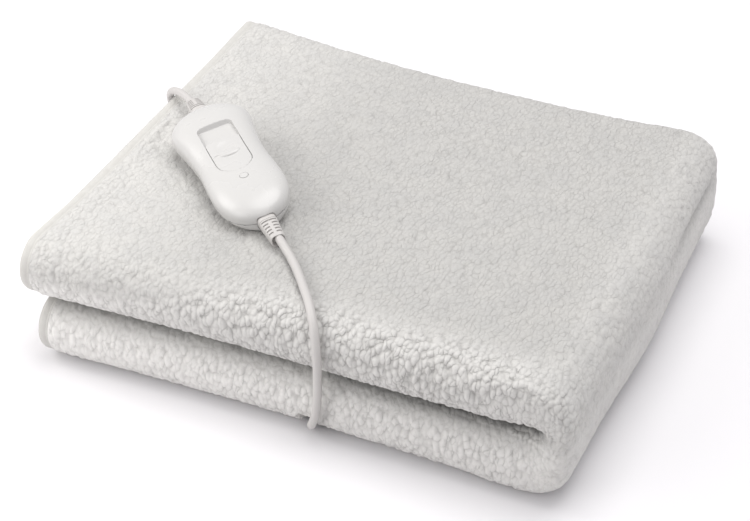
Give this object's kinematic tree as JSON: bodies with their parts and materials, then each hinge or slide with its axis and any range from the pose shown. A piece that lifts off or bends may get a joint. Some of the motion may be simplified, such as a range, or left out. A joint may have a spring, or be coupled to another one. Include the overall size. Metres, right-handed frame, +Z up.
{
  "type": "electric heated blanket",
  "caption": "Heated underblanket of fleece folded into a flat parcel, with an oval slide-switch controller lying on top and its flex running over the front fold.",
  "frame": {"origin": "on the floor under the middle of the bounding box of the folded blanket and its controller, the cord, its hem block, coil and plug left out", "axes": "+Z up; +X along the front folds, from the bound hems to the spine; +Y from the front folds to the back folds"},
  "size_m": [0.4166, 0.4548, 0.1237],
  "materials": {
    "fleece": "off-white sherpa fleece of small curled clumps, matt",
    "binding_tape": "off-white woven tape with a stitched line",
    "white_shell": "glossy moulded white plastic",
    "lamp_lens": "small milky lamp lens",
    "pale_flex": "pale pinkish grey soft moulding, satin",
    "cord_tie": "flat white cord tie",
    "nickel_pins": "plated plug pins"
  },
  "bodies": {
    "blanket": {"blanket_cloth": "fleece", "binding_hem_lower": "binding_tape", "binding_hem_upper": "binding_tape", "binding_edge_inner": "binding_tape", "binding_edge_outer": "binding_tape", "controller_top": "white_shell", "controller_base": "white_shell", "lamp_lens": "lamp_lens", "mains_relief": "pale_flex", "lead_relief": "pale_flex", "lead_entry": "pale_flex", "lead_cord": "pale_flex", "mains_cord": "pale_flex", "plug_cord": "pale_flex", "cord_coil": "pale_flex", "coil_tie_left": "cord_tie", "coil_tie_right": "cord_tie", "plug_body": "pale_flex", "plug_pin_left": "nickel_pins", "plug_pin_right": "nickel_pins"},
    "slider": {"switch_slider": "white_shell"}
  },
  "joints": [
    {"name": "switch_slide", "type": "slide", "parent": "blanket", "child": "slider", "axis": [-0.7259, 0.6848, 0.0637], "range_m": [0, 0.015]}
  ]
}
